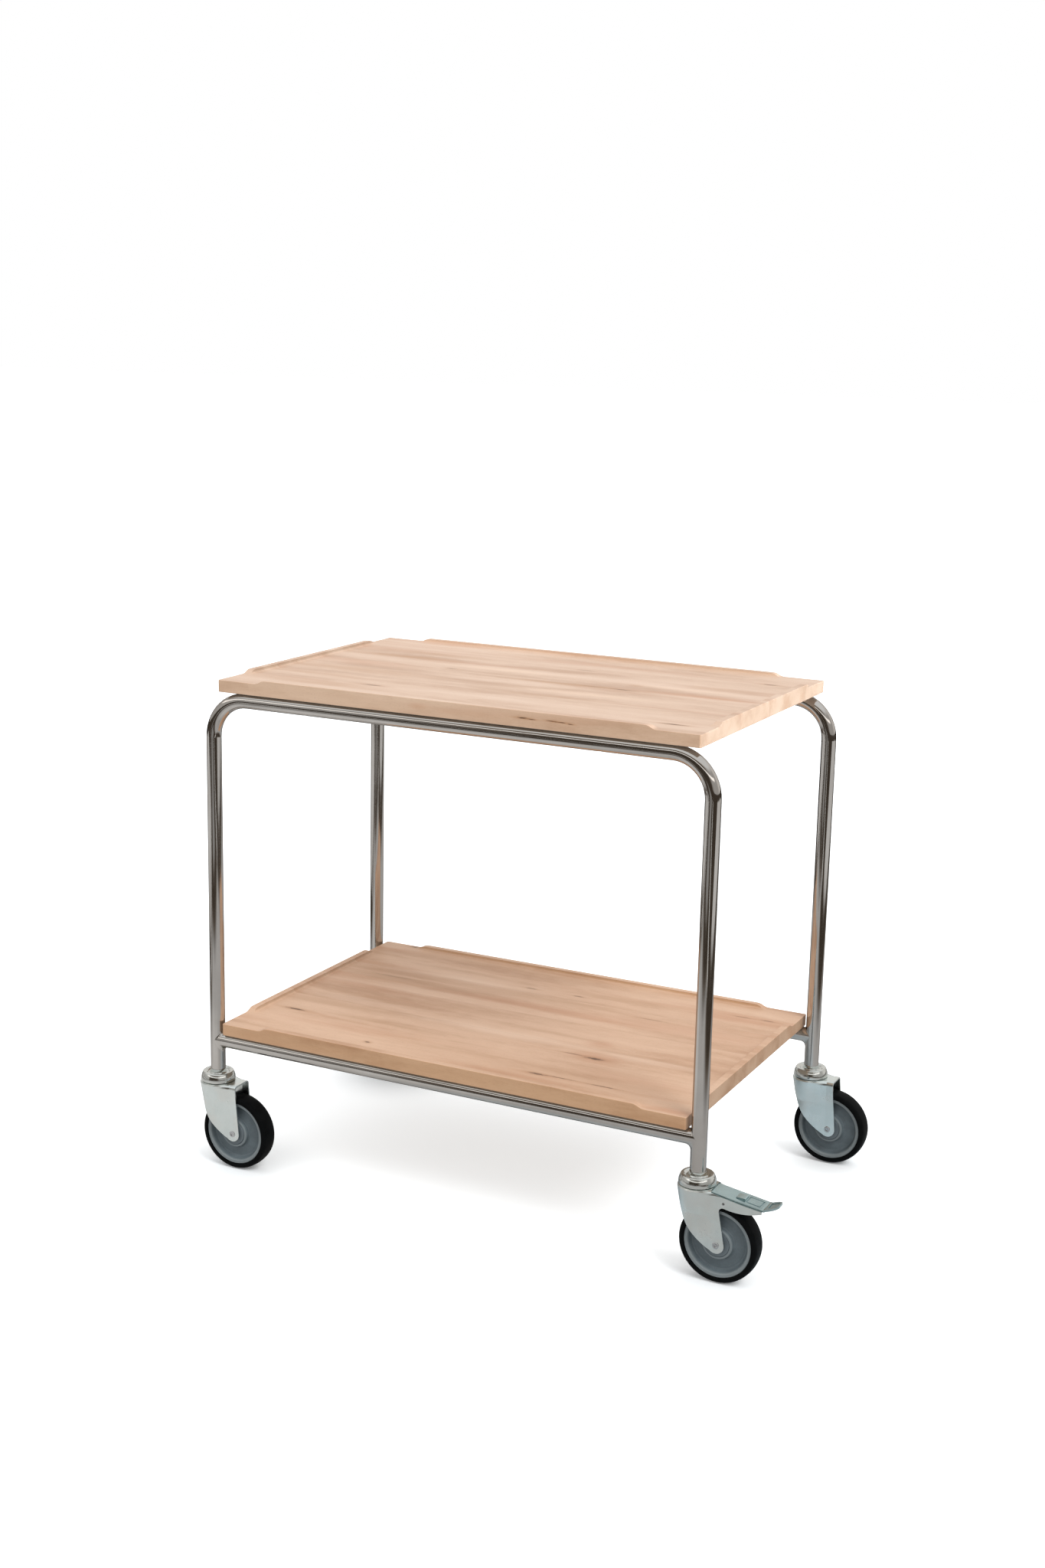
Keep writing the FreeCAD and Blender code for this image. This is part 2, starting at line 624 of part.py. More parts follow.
# tyre: rounded tread
half = dim("tyre_half")
inner = rim_rad + 0.05
tyre = revolve("tyre", [
    (inner, 13.2), (inner + 0.2, half - 1.4), (inner + 1.6, half - 0.3, wheel_rad - 3.4, half - 2.0),
    (wheel_rad - 1.0, half - 6.4, wheel_rad, 0), (wheel_rad - 1.0, -half + 6.4, wheel_rad - 3.4, -half + 2.0),
    (inner + 1.6, -half + 0.3), (inner + 0.2, -half + 1.4), (inner, -13.2)], "XY_Plane")

bearing = revolve("hub_bearing", [
    (axle_rad + 0.06, -13.6), (8.0, -13.6), (8.0, 13.6), (axle_rad + 0.06, 13.6)], "XY_Plane")

guard_half = [(axle_rad + 0.3, 14.05), (20.0, 14.05), (20.0, 15.9), (19.4, 16.5), (axle_rad + 0.3, 16.5)]
guard_a = revolve("thread_guard", guard_half, "XY_Plane")
guard_b = revolve("thread_guard_far", [(r, -q(y)) for r, y in guard_half], "XY_Plane")

# brake pedal: channel between the fork's arms, foot tab at its end
pin_x, pin_z = dim("pin_x"), dim("pin_z")
pedal = new_body("brake_pedal")
sk = new_sketch(pedal, "XZ_Plane")
add_outline(sk, [
    (29.7, 148.63), (110.0, 136.2, 111.9, 135.9), (113.8, 136.2), (133.2, 143.0, 134.9, 143.1), (135.6, 141.7), (134.4, 139.9), (115.0, 133.2),
    (109.5, 133.2), (108.0, 131.8), (62.0, 131.4), (56.4, 128.9, 51.0, 127.6), (45.6, 128.9),
    (40.5, 136.0), (36.5, 145.6), (29.7, 146.63)])
pad(pedal, sk, dim("pedal_half") * 2, both=True)
sk = new_sketch(pedal, "XZ_Plane")
add_outline(sk, [(30.0, 146.55), (109.0, 134.35), (109.0, 120.0), (30.0, 120.0)])
pocket(pedal, sk, dim("pedal_inner") * 2, both=True)
# drawn-in foot tab with a round end
sk = new_sketch(pedal, "XY_Plane", 160)
for s in (1, -1):
    add_outline(sk, [(114.6, 17.0 * s), (116.4, 15.6 * s), (123.0, 15.6 * s, 131.9, 11.8 * s), (135.5, 3.0 * s),
                     (140.0, 3.0 * s), (140.0, 24.0 * s), (114.6, 24.0 * s)])
pocket(pedal, sk, 60.0)
# pressed panel and raised release tab on the top face
slope = (136.2 - 148.4) / (110.0 - 31.2)


def top_z(x):
    return 148.4 + slope * (x - 31.2)


sk = new_sketch(pedal, "XZ_Plane")
add_outline(sk, [(83.0, top_z(83.0) + 3.0), (83.0, top_z(83.0) - 1.2), (106.5, top_z(106.5) - 1.2), (106.5, top_z(106.5) + 3.0)])
pocket(pedal, sk, 22.0, both=True)
sk = new_sketch(pedal, "XZ_Plane")
add_outline(sk, [(84.6, top_z(84.6) - 1.5), (84.6, top_z(84.6) + 0.1), (104.6, top_z(104.6) + 0.1), (104.6, top_z(104.6) - 1.5)])
pad(pedal, sk, 18.4, both=True)
sk = new_sketch(pedal, "XZ_Plane")
add_outline(sk, [(66.0, top_z(66.0) - 0.5), (66.4, top_z(66.4) + 1.2), (79.6, top_z(79.6) + 3.0), (81.2, top_z(81.2) + 2.4),
                 (81.4, top_z(81.4) - 0.5)])
pad(pedal, sk, 16.0, both=True)
# shallow recess that leaves a rim round the foot tab
sk = new_sketch(pedal, "XZ_Plane")
add_outline(sk, [(117.4, 137.46 + 3.0), (117.4, 137.46 - 0.9), (130.6, 142.09 - 0.9), (130.6, 142.09 + 3.0)])
pocket(pedal, sk, 20.0, both=True)
sk = new_sketch(pedal, "XZ_Plane")
add_circle(sk, pin_x, pin_z, dim("pin_hole"))
pocket(pedal, sk, 60.0, both=True)

# brake shoe: its face meets the tyre when the pedal is down
PRESS = math.radians(12.0)
cx, cz = trail.v - pin_x.v, wheel_rad.v - pin_z.v
shoe_cx = pin_x.v + cx * math.cos(PRESS) - cz * math.sin(PRESS)
shoe_cz = pin_z.v + cx * math.sin(PRESS) + cz * math.cos(PRESS)
shoe_r = wheel_rad.v + 0.4


def shoe_z(x):
    return shoe_cz + math.sqrt(shoe_r ** 2 - (x - shoe_cx) ** 2)


def under_z(x):
    return 146.55 + (134.35 - 146.55) / (109.0 - 30.0) * (x - 30.0) - 0.02


shoe = new_body("brake_shoe")
sk = new_sketch(shoe, "XZ_Plane")
add_outline(sk, [(69.0, under_z(69.0)), (69.0, shoe_z(69.0), 77.0, shoe_z(77.0)), (85.0, shoe_z(85.0)), (87.0, shoe_z(85.0) + 4.0), (87.0, under_z(87.0))])
pad(shoe, sk, dim("shoe_half") * 2, both=True)

pin = revolve("brake_pin", [
    (0, -side - 0.1), (1.0, -side - 0.1), (1.4, -side - 0.5), (dim("pin_rad"), -side - 0.2), (dim("pin_rad"), side + 0.2),
    (1.4, side + 0.5), (1.0, side + 0.1), (0, side + 0.1)], "XY_Plane")

coil = []
for i in range(9):
    y = -7.2 + 1.8 * i
    coil += [(dim("pin_rad") + 2.0, y - 0.9 + 0.25), (dim("pin_rad") + 2.55, y), (dim("pin_rad") + 2.0, y + 0.9 - 0.25)]
coil = [(dim("pin_rad") + 0.3, -8.1)] + coil + [(dim("pin_rad") + 0.3, 8.1)]
spring = revolve("brake_spring", coil, "XY_Plane")

# -------------------------------------------------------------- the castors
for fb, sy in (("front", -1), ("rear", 1)):
    for lr, sx in (("left", -1), ("right", 1)):
        p = "%s_%s_" % (fb, lr)
        x0, y0 = leg_x * sx, leg_y * sy
        braked = (fb, lr) in (("front", "right"), ("rear", "left"))
        node(p + "swivel_cap", cap, x0, y0, 0)
        node(p + "king_bolt", king, x0, y0, 0)
        node(p + "swivel_balls", ball_objs, x0, y0, 0)
        node(p + "fork", braked_fork if braked else plain_fork, x0, y0, 0)
        node(p + "axle", axle, x0 + trail, y0, wheel_rad)
        node(p + "wheel_hub", hub, x0 + trail, y0, wheel_rad)
        node(p + "tyre", tyre, x0 + trail, y0, wheel_rad)
        node(p + "hub_bearing", bearing, x0 + trail, y0, wheel_rad)
        node(p + "thread_guards", [guard_a, guard_b], x0 + trail, y0, wheel_rad)
        if braked:
            node(p + "brake_pedal", pedal, x0, y0, 0)
            node(p + "brake_shoe", shoe, x0, y0, 0)
            node(p + "brake_pin", pin, x0 + pin_x, y0, pin_z)
            node(p + "brake_spring", spring, x0 + pin_x, y0, pin_z)

doc.recompute()

# -------------------------------------------------------------- check, write
for o in doc.Objects:
    if any(s in ("Invalid", "Error") for s in o.State):
        raise RuntimeError("%s is %s" % (o.Name, o.State))
names = set()
for n in NODES:
    if n.Shape.isNull() or not n.Shape.isValid() or not n.Shape.Solids:
        raise RuntimeError("bad shape in " + n.Label)
    if n.Label in names:
        raise RuntimeError("two nodes named " + n.Label)
    names.add(n.Label)

os.makedirs("parts", exist_ok=True)
total = 0.0
for n in NODES:
    n.Shape.exportStep("parts/%s.step" % n.Label)
    total += n.Shape.Volume
    bb = n.Shape.BoundBox
    print("%-30s solids %2d  volume %10.1f  x %.1f..%.1f  y %.1f..%.1f  z %.1f..%.1f" % (
        n.Label, len(n.Shape.Solids), n.Shape.Volume, bb.XMin, bb.XMax, bb.YMin, bb.YMax, bb.ZMin, bb.ZMax))
print("%d nodes, total volume %.0f mm3" % (len(NODES), total))
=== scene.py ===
import math
import bpy
import bmesh
from mathutils import Matrix, Vector


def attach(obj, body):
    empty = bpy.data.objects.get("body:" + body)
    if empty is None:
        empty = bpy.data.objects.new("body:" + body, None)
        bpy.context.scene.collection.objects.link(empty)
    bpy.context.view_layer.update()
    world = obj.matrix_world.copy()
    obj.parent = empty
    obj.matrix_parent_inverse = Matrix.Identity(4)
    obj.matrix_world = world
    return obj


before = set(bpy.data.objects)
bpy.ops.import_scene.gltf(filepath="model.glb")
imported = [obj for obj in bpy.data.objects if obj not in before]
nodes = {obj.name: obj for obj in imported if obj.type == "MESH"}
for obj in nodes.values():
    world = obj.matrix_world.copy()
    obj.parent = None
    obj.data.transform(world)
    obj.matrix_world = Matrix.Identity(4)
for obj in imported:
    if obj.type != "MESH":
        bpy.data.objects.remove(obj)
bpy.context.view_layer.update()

scene = bpy.context.scene

# --------------------------------------------------------------------- camera
AZ, EL, ROLL = (math.radians(a) for a in (26.566, 12.703, 1.191))
back = Vector((math.sin(AZ) * math.cos(EL), -math.cos(AZ) * math.cos(EL), math.sin(EL)))
right = (-back).cross(Vector((0, 0, 1))).normalized()
up = right.cross(-back)
right2 = math.cos(ROLL) * right + math.sin(ROLL) * up
up2 = -math.sin(ROLL) * right + math.cos(ROLL) * up
cam_data = bpy.data.cameras.new("camera")
cam_data.sensor_width = 36.0
cam_data.lens = 2670.867 / 2048 * 36.0
cam_data.clip_start, cam_data.clip_end = 0.05, 200.0
cam = bpy.data.objects.new("camera", cam_data)
scene.collection.objects.link(cam)
m = Matrix((right2, up2, back)).transposed().to_4x4()
m.translation = (1.488555, -2.98209, 1.419303)
cam.matrix_world = m
scene.camera = cam
scene.view_settings.view_transform = "Standard"
scene.view_settings.look = "None"


# ------------------------------------------------------------- node shorthand
class Graph:
    """A node tree with short calls; sockets and plain numbers mix freely."""

    def __init__(self, tree):
        self.t = tree
        self.t.nodes.clear()

    def new(self, kind, **props):
        n = self.t.nodes.new(kind)
        for k, v in props.items():
            setattr(n, k, v)
        return n

    def put(self, socket, value):
        if isinstance(value, bpy.types.NodeSocket):
            self.t.links.new(value, socket)
        elif socket.type == "RGBA" and len(value) == 3:
            socket.default_value = (*value, 1.0)
        else:
            socket.default_value = value

    def math(self, op, a, b=None, c=None, clamp=False):
        n = self.new("ShaderNodeMath", operation=op, use_clamp=clamp)
        for s, v in zip(n.inputs, (a, b, c)):
            if v is not None:
                self.put(s, v)
        return n.outputs[0]

    def vec(self, op, a, b=None, scale=None):
        n = self.new("ShaderNodeVectorMath", operation=op)
        self.put(n.inputs[0], a)
        if b is not None:
            self.put(n.inputs[1], b)
        if scale is not None:
            self.put(n.inputs["Scale"], scale)
        return n.outputs["Value"] if op in ("LENGTH", "DISTANCE", "DOT_PRODUCT") else n.outputs[0]

    def join(self, x, y, z):
        n = self.new("ShaderNodeCombineXYZ")
        for s, v in zip(n.inputs, (x, y, z)):
            self.put(s, v)
        return n.outputs[0]

    def split(self, v):
        n = self.new("ShaderNodeSeparateXYZ")
        self.put(n.inputs[0], v)
        return n.outputs

    def noise(self, v, scale=1.0, detail=2.0, rough=0.5, distort=0.0):
        n = self.new("ShaderNodeTexNoise")
        self.put(n.inputs["Vector"], v)
        n.inputs["Scale"].default_value = scale
        n.inputs["Detail"].default_value = detail
        n.inputs["Roughness"].default_value = rough
        n.inputs["Distortion"].default_value = distort
        return n.outputs["Fac"]

    def cells(self, v, scale=1.0, feature="F1", random=1.0):
        n = self.new("ShaderNodeTexVoronoi", feature=feature)
        self.put(n.inputs["Vector"], v)
        n.inputs["Scale"].default_value = scale
        n.inputs["Randomness"].default_value = random
        return n.outputs

    def hash(self, w):
        n = self.new("ShaderNodeTexWhiteNoise", noise_dimensions="1D")
        self.put(n.inputs["W"], w)
        return n.outputs

    def span(self, v, a, b, c=0.0, d=1.0, smooth=True):
        n = self.new("ShaderNodeMapRange", interpolation_type="SMOOTHSTEP" if smooth else "LINEAR", clamp=True)
        for s, x in zip(n.inputs, (v, a, b, c, d)):
            self.put(s, x)
        return n.outputs[0]

    def mix(self, f, a, b, mode="MIX"):
        n = self.new("ShaderNodeMix", data_type="RGBA", blend_type=mode)
        self.put(n.inputs["Factor"], f)
        self.put(n.inputs[6], a)
        self.put(n.inputs[7], b)
        return n.outputs[2]

    def ramp(self, f, stops):
        n = self.new("ShaderNodeValToRGB")
        self.put(n.inputs[0], f)
        e = n.color_ramp.elements
        while len(e) < len(stops):
            e.new(0.5)
        for el, (p, c) in zip(e, stops):
            el.position = p
            el.color = (*c, 1.0)
        return n.outputs[0]

    def bump(self, height, strength, distance):
        n = self.new("ShaderNodeBump")
        n.inputs["Strength"].default_value = strength
        n.inputs["Distance"].default_value = distance
        self.put(n.inputs["Height"], height)
        return n.outputs[0]


def material(name):
    mat = bpy.data.materials.new(name)
    mat.use_nodes = True
    g = Graph(mat.node_tree)
    out = g.new("ShaderNodeOutputMaterial")
    sh = g.new("ShaderNodeBsdfPrincipled")
    g.t.links.new(sh.outputs[0], out.inputs[0])
    g.shader = sh
    g.pos = g.new("ShaderNodeTexCoord").outputs["Object"]
    return mat, g


def finish_with(g, **sockets):
    for name, v in sockets.items():
        g.put(g.shader.inputs[name.replace("_", " ")], v)


# ----------------------------------------------------------------------- wood
def beech(name, top_z, joints, seed, marks, pale, warm, side_tint_and_shade, ends):
    """Beech staves glued side by side, a solid texture in metres.
    marks: (x, y, z, half length, half width, half depth, strength, kind)."""
    mat, g = material(name)
    x, y, z = g.split(g.pos)
    stave = 0.0
    for j in joints:
        stave = g.math("ADD", g.math("GREATER_THAN", y, j), stave)
    pick = g.hash(g.math("ADD", stave, seed))
    shift = g.vec("SCALE", pick["Color"], scale=7.0)
    p = g.vec("ADD", g.pos, shift)
    px, py, pz = g.split(p)
    # slow wander of the fibres
    wander = g.noise(g.join(g.math("MULTIPLY", px, 2.2), g.math("MULTIPLY", py, 7.0), g.math("MULTIPLY", pz, 7.0)), 1.0, 3.0, 0.55)
    lean = g.math("MULTIPLY", g.math("SUBTRACT", wander, 0.5), 0.030)
    wy = g.math("ADD", py, lean)
    wz = g.math("ADD", pz, g.math("MULTIPLY", lean, 0.7))
    # broad tone streaks, then finer ones
    broad = g.noise(g.join(g.math("MULTIPLY", px, 2.9), g.math("MULTIPLY", wy, 21.0), g.math("MULTIPLY", wz, 21.0)), 1.0, 1.6, 0.42)
    fine = g.noise(g.join(g.math("MULTIPLY", px, 13.0), g.math("MULTIPLY", wy, 150.0), g.math("MULTIPLY", wz, 150.0)), 1.0, 3.0, 0.6)
    fibre = g.noise(g.join(g.math("MULTIPLY", px, 40.0), g.math("MULTIPLY", wy, 1500.0), g.math("MULTIPLY", wz, 1500.0)), 1.0, 2.0, 0.6)
    red = g.noise(g.join(g.math("MULTIPLY", px, 1.1), g.math("MULTIPLY", wy, 15.0), g.math("MULTIPLY", wz, 15.0)), 1.7, 2.0, 0.5)
    # growth rings round a pith line below or beside each stave
    pith = g.split(pick["Color"])
    ry = g.math("SUBTRACT", wy, g.math("ADD", g.math("MULTIPLY", pith[0], 7.0), g.math("SUBTRACT", g.math("MULTIPLY", pith[1], 0.30), 0.15)))
    rz = g.math("SUBTRACT", wz, g.math("ADD", g.math("MULTIPLY", pith[2], 7.0), g.math("SUBTRACT", top_z - 0.02, g.math("MULTIPLY", pith[0], 0.12))))
    rad = g.math("SQRT", g.math("ADD", g.math("MULTIPLY", ry, ry), g.math("MULTIPLY", rz, rz)))
    saw = g.math("FRACT", g.math("MULTIPLY", rad, 330.0))
    ring = g.math("MULTIPLY", g.span(saw, 0.55, 0.97), g.span(saw, 1.0, 0.97))
    # short ray flecks and pores
    fleck_cell = g.cells(g.join(g.math("MULTIPLY", px, 130.0), g.math("MULTIPLY", wy, 850.0), g.math("MULTIPLY", pz, 850.0)), 1.0)
    fleck = g.math("MULTIPLY", g.span(fleck_cell["Distance"], 0.30, 0.12), g.math("GREATER_THAN", g.split(fleck_cell["Color"])[0], 0.45))
    # colour
    nrm = g.split(g.new("ShaderNodeNewGeometry").outputs["Normal"])
    tone = g.math("ADD", g.math("MULTIPLY", g.math("SUBTRACT", broad, 0.5), 1.46), g.math("MULTIPLY", g.math("SUBTRACT", fine, 0.5), 0.24))
    tone = g.math("ADD", tone, g.math("MULTIPLY", g.math("SUBTRACT", pick["Value"], 0.5), 0.14))
    mottle = g.noise(g.join(g.math("MULTIPLY", px, 24.0), g.math("MULTIPLY", wy, 75.0), g.math("MULTIPLY", wz, 75.0)), 1.0, 4.0, 0.65)
    tone = g.math("ADD", tone, g.math("MULTIPLY", g.math("SUBTRACT", mottle, 0.5), 0.50))
    col = g.ramp(g.math("ADD", 0.5, tone), [(0.18, warm), (0.50, pale), (0.82, tuple(min(1.0, c * k) for c, k in zip(pale, (1.09, 1.13, 1.17))))])
    col = g.mix(g.span(red, 0.51, 0.72, 0.0, 0.46), col, tuple(c * k for c, k in zip(warm, (1.03, 0.90, 0.84))))
    col = g.mix(g.math("MULTIPLY", ring, 0.05), col, tuple(c * 0.72 for c in warm))
    col = g.mix(g.math("MULTIPLY", fleck, 0.22), col, tuple(c * k for c, k in zip(warm, (0.62, 0.52, 0.44))))
    col = g.mix(g.math("MULTIPLY", g.span(fibre, 0.5, 0.72), 0.15), col, tuple(c * 0.7 for c in warm))
    # single marks: pale and red streaks, dark knots and bark lines
    jag = g.noise(g.join(g.math("MULTIPLY", x, 120.0), g.math("MULTIPLY", y, 800.0), g.math("MULTIPLY", z, 800.0)), 1.0, 3.0, 0.6)
    drift = g.math("MULTIPLY", g.math("SUBTRACT", g.noise(g.join(g.math("MULTIPLY", x, 9.0), g.math("MULTIPLY", y, 40.0), z), 1.0, 2.0, 0.5), 0.5), 0.018)
    at = g.join(x, g.math("ADD", y, drift), z)
    tints = {"dark": (0.055, 0.026, 0.012), "brown": (0.45, 0.258, 0.146), "red": (0.52, 0.270, 0.160), "pale": (0.80, 0.60, 0.46)}
    for mx, my, mz, a, b, c, s, kind in marks:
        mp = g.new("ShaderNodeMapping", vector_type="TEXTURE")
        g.put(mp.inputs["Vector"], at if kind != "dark" else g.pos)
        mp.inputs["Location"].default_value = (mx, my, mz)
        mp.inputs["Scale"].default_value = (a, b, c)
        d = g.vec("LENGTH", mp.outputs[0])
        if kind == "dark":
            col = g.mix(g.span(d, 2.2, 0.5, 0.0, 0.55 * s), col, (0.46, 0.245, 0.130))
            d = g.math("ADD", d, g.math("MULTIPLY", g.math("SUBTRACT", jag, 0.5), 1.7))
            w = g.span(d, 1.0, 0.20, 0.0, s)
        else:
            d = g.math("ADD", d, g.math("MULTIPLY", g.math("SUBTRACT", fine, 0.5), 0.9))
            w = g.span(d, 1.25, 0.05, 0.0, s)
        col = g.mix(w, col, tints[kind])
    # end grain is darker and shows the rings; the long side faces are tinted yellower, and their brightness is
    # painted light and shade, darker on the lower tray
    end = g.span(g.math("ABSOLUTE", nrm[0]), 0.55, 0.85)
    side = g.span(g.math("ABSOLUTE", nrm[1]), 0.55, 0.85)
    col = g.mix(g.math("MULTIPLY", side, 0.85), col, side_tint_and_shade, "MULTIPLY")
    pore = g.noise(g.join(g.math("MULTIPLY", px, 30.0), g.math("MULTIPLY", y, 1800.0), g.math("MULTIPLY", z, 1800.0)), 1.0, 2.0, 0.5)
    grain_end = g.math("ADD", g.math("MULTIPLY", ring, 0.10), g.math("MULTIPLY", pore, 0.16))
    col = g.mix(g.math("MULTIPLY", end, grain_end), col, tuple(c * k for c, k in zip(warm, (0.80, 0.72, 0.66))))
    col = g.mix(end, col, ends, "MULTIPLY")
    # the underside is left raw and pale
    col = g.mix(g.span(nrm[2], -0.5, -0.8, 0.0, 0.65), col, (0.70, 0.61, 0.51))
    # glue joints
    glue = 0.0
    for j in joints:
        near = g.math("ABSOLUTE", g.math("SUBTRACT", y, j))
        glue = g.math("ADD", g.span(near, 0.0011, 0.0003), glue)
    glue_w = g.math("MULTIPLY", g.math("MULTIPLY", glue, g.math("ADD", 0.16, g.math("MULTIPLY", end, 0.20))), g.span(wander, 0.3, 0.6, 0.35, 1.0))
    col = g.mix(glue_w, col, tuple(c * 0.45 for c in warm))
    rough = g.math("ADD", 0.50, g.math("MULTIPLY", g.math("SUBTRACT", fine, 0.5), 0.18))
    rough = g.math("ADD", rough, g.math("MULTIPLY", fleck, 0.08))
    height = g.math("ADD", g.math("MULTIPLY", fibre, 0.6), g.math("ADD", g.math("MULTIPLY", fleck, -0.5), g.math("MULTIPLY", ring, -0.15)))
    finish_with(g, Base_Color=col, Roughness=rough, Normal=g.bump(height, 0.22, 0.00025))
    g.shader.inputs["Specular IOR Level"].default_value = 0.32
    return mat


T, L = 0.844, 0.255
top_marks = [
    (-0.290, -0.062, T, 0.180, 0.024, 0.02, 0.46, "brown"),
    (-0.330, -0.132, T, 0.150, 0.018, 0.02, 0.38, "brown"),
    (-0.250, 0.150, T, 0.160, 0.016, 0.02, 0.34, "brown"),
    (-0.3075, 0.100, T, 0.150, 0.020, 0.02, 0.55, "brown"),
    (0.0775, 0.003, T, 0.160, 0.013, 0.02, 0.60, "brown"),
    (0.3175, 0.0125, T, 0.140, 0.014, 0.02, 0.55, "red"),
    (-0.330, 0.010, T, 0.150, 0.030, 0.02, 0.35, "red"),
    (-0.280, -0.210, T, 0.170, 0.022, 0.02, 0.40, "brown"),
    (0.090, -0.115, T, 0.140, 0.014, 0.02, 0.30, "brown"),
    (0.300, 0.095, T, 0.120, 0.012, 0.02, 0.28, "brown"),
    (-0.080, 0.070, T, 0.140, 0.016, 0.02, 0.45, "pale"),
    (0.130, -0.065, T, 0.150, 0.020, 0.02, 0.45, "pale"),
    (0.260, 0.062, T, 0.120, 0.014, 0.02, 0.40, "pale"),
    (0.175, 0.050, T, 0.016, 0.010, 0.01, 0.45, "brown"),
    (0.1725, 0.005, T, 0.034, 0.0042, 0.01, 0.62, "dark"),
    (0.120, 0.006, T, 0.030, 0.0026, 0.01, 0.40, "dark"),
    (-0.1575, 0.0325, T, 0.014, 0.0045, 0.01, 0.40, "dark"),
    (-0.1875, -0.180, T, 0.026, 0.0050, 0.01, 0.55, "dark"),
    (0.3575, -0.2225, T, 0.028, 0.0045, 0.01, 0.75, "dark"),
    (0.360, 0.1825, T, 0.018, 0.0050, 0.01, 0.55, "dark"),
    (0.045, 0.1425, T, 0.024, 0.0055, 0.01, 0.28, "dark"),
    (0.1330, -0.276, 0.8388, 0.013, 0.010, 0.0016, 0.85, "dark"),
    (0.1480, -0.276, 0.8381, 0.010, 0.010, 0.0011, 0.75, "dark"),
    (0.1830, -0.276, 0.8390, 0.012, 0.010, 0.0014, 0.80, "dark"),
    (0.1990, -0.276, 0.8385, 0.013, 0.010, 0.0011, 0.80, "dark"),
    (0.2130, -0.276, 0.8372, 0.007, 0.010, 0.0009, 0.70, "dark"),
    (-0.050, -0.276, 0.838, 0.020, 0.010, 0.006, 0.30, "red"),
    (0.160, 0.276, 0.836, 0.026, 0.010, 0.0022, 0.60, "dark"),
]
low_marks = [
    (0.310, -0.190, L, 0.150, 0.070, 0.02, 0.24, "brown"),
    (-0.300, -0.092, L, 0.170, 0.020, 0.02, 0.42, "brown"),
    (-0.330, 0.018, L, 0.150, 0.018, 0.02, 0.36, "red"),
    (-0.150, -0.010, L, 0.180, 0.012, 0.02, 0.30, "brown"),
    (-0.260, 0.085, L, 0.190, 0.023, 0.02, 0.62, "brown"),
    (0.020, 0.0675, L, 0.230, 0.016, 0.02, 0.60, "red"),
    (0.320, 0.185, L, 0.120, 0.020, 0.02, 0.55, "red"),
    (0.120, 0.180, L, 0.140, 0.014, 0.02, 0.40, "brown"),
    (-0.180, 0.180, L, 0.150, 0.012, 0.02, 0.30, "brown"),
    (0.175, -0.045, L, 0.030, 0.022, 0.02, 0.50, "red"),
    (0.270, 0.085, L, 0.200, 0.036, 0.02, 0.38, "red"),
    (-0.060, 0.115, L, 0.260, 0.026, 0.02, 0.30, "brown"),
    (-0.230, -0.185, L, 0.160, 0.024, 0.02, 0.26, "red"),
    (0.300, -0.170, L, 0.130, 0.030, 0.02, 0.30, "red"),
    (0.195, -0.108, L, 0.055, 0.028, 0.02, 0.62, "red"),
    (0.080, -0.035, L, 0.120, 0.010, 0.02, 0.35, "brown"),
    (-0.180, -0.135, L, 0.120, 0.012, 0.02, 0.42, "brown"),
    (0.3925, -0.262, L, 0.060, 0.013, 0.02, 0.65, "red"),
    (0.100, -0.245, L, 0.150, 0.014, 0.02, 0.45, "red"),
    (0.120, -0.215, L, 0.330, 0.060, 0.02, 0.24, "brown"),
    (-0.100, 0.235, L, 0.360, 0.040, 0.02, 0.16, "brown"),
    (0.020, -0.075, L, 0.210, 0.019, 0.02, 0.50, "pale"),
    (-0.160, 0.145, L, 0.150, 0.016, 0.02, 0.42, "pale"),
    (-0.280, -0.055, L, 0.150, 0.018, 0.02, 0.35, "pale"),
    (0.300, -0.080, L, 0.110, 0.016, 0.02, 0.38, "pale"),
    (0.195, -0.1125, L, 0.022, 0.0060, 0.01, 0.85, "dark"),
    (0.155, -0.109, L, 0.026, 0.0024, 0.01, 0.50, "dark"),
    (-0.3025, 0.0925, L, 0.060, 0.0040, 0.01, 0.26, "dark"),
    (-0.3575, -0.1475, L, 0.026, 0.0050, 0.01, 0.80, "dark"),
    (0.145, -0.220, L, 0.022, 0.0045, 0.01, 0.85, "dark"),
    (0.185, -0.2185, L, 0.036, 0.0022, 0.01, 0.60, "dark"),
    (0.260, -0.219, L, 0.036, 0.0024, 0.01, 0.65, "dark"),
    (-0.165, -0.2285, L, 0.007, 0.0042, 0.01, 0.70, "dark"),
    (-0.055, 0.1575, L, 0.015, 0.0030, 0.01, 0.50, "dark"),
    (0.0375, 0.160, L, 0.014, 0.0032, 0.01, 0.55, "dark"),
    (0.3325, 0.2025, L, 0.022, 0.0022, 0.01, 0.50, "dark"),
    (0.3775, 0.205, L, 0.018, 0.0030, 0.01, 0.50, "dark"),
    (0.2025, 0.110, L, 0.034, 0.0026, 0.01, 0.30, "dark"),
    (-0.3575, 0.2675, 0.258, 0.014, 0.0060, 0.01, 0.65, "dark"),
]
# the last but one colour of each tray tints its long side faces and paints light and shade on them
beech_top = beech("beech_top", T, (-0.118, 0.010, 0.180), 3.0, top_marks,
                  (0.640, 0.466, 0.354), (0.515, 0.346, 0.246), (1.02, 0.98, 0.90), (0.80, 0.81, 0.79))
beech_low = beech("beech_low", L, (-0.072, 0.030, 0.135), 11.0, low_marks,
                  (0.640, 0.424, 0.290), (0.512, 0.308, 0.193), (0.83, 0.76, 0.63), (0.80, 0.81, 0.79))


